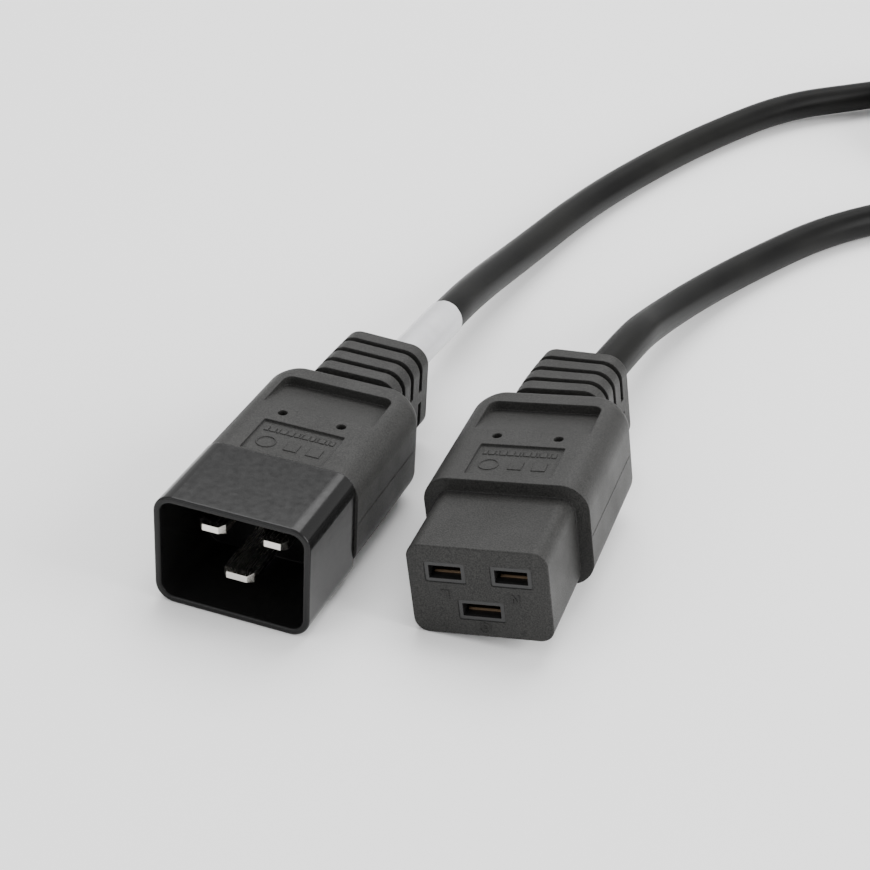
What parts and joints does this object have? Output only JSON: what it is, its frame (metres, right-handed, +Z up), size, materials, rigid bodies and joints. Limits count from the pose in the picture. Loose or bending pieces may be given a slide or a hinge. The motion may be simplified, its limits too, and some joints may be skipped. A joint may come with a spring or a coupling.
{
  "type": "power cord",
  "caption": "Mains power cord for rack equipment: a shrouded flat-pin plug, a matching slotted connector, and a round black cable whose spare length is coiled and tied.",
  "frame": {"origin": "on the floor, below the middle of the box round the two moulded ends", "axes": "+Z up; the plug's mouth faces -Y and its cable leaves towards +Y; the connector lies on the +X side"},
  "size_m": [0.1883, 0.3614, 0.026],
  "materials": {
    "shroud_plastic": "glossy",
    "overmould_plastic": "fine matte grain",
    "insert_plastic": "smooth",
    "pin_metal": "nickel plated",
    "contact_metal": "plain spring metal",
    "conductor_copper": "bare stranded copper",
    "line_core_plastic": "satin",
    "neutral_core_plastic": "satin",
    "earth_core_plastic": "satin",
    "cable_sheath": "satin",
    "label_film": "satin film",
    "tie_plastic": "satin"
  },
  "bodies": {
    "root": {"plug_shroud": "shroud_plastic", "plug_overmould": "overmould_plastic", "plug_line_pin": "pin_metal", "plug_neutral_pin": "pin_metal", "plug_earth_pin": "pin_metal", "plug_line_core": "line_core_plastic", "plug_neutral_core": "neutral_core_plastic", "plug_earth_core": "earth_core_plastic", "plug_line_conductor": "conductor_copper", "plug_neutral_conductor": "conductor_copper", "plug_earth_conductor": "conductor_copper", "plug_cable_end": "cable_sheath", "connector_overmould": "overmould_plastic", "connector_insert": "insert_plastic", "connector_line_contact": "contact_metal", "connector_neutral_contact": "contact_metal", "connector_earth_contact": "contact_metal", "connector_line_core": "line_core_plastic", "connector_neutral_core": "neutral_core_plastic", "connector_earth_core": "earth_core_plastic", "connector_line_conductor": "conductor_copper", "connector_neutral_conductor": "conductor_copper", "connector_earth_conductor": "conductor_copper", "connector_cable_end": "cable_sheath", "cable_plug_lead": "cable_sheath", "cable_connector_lead": "cable_sheath", "cable_coil": "cable_sheath", "cable_label": "label_film", "coil_tie": "tie_plastic"}
  },
  "joints": []
}
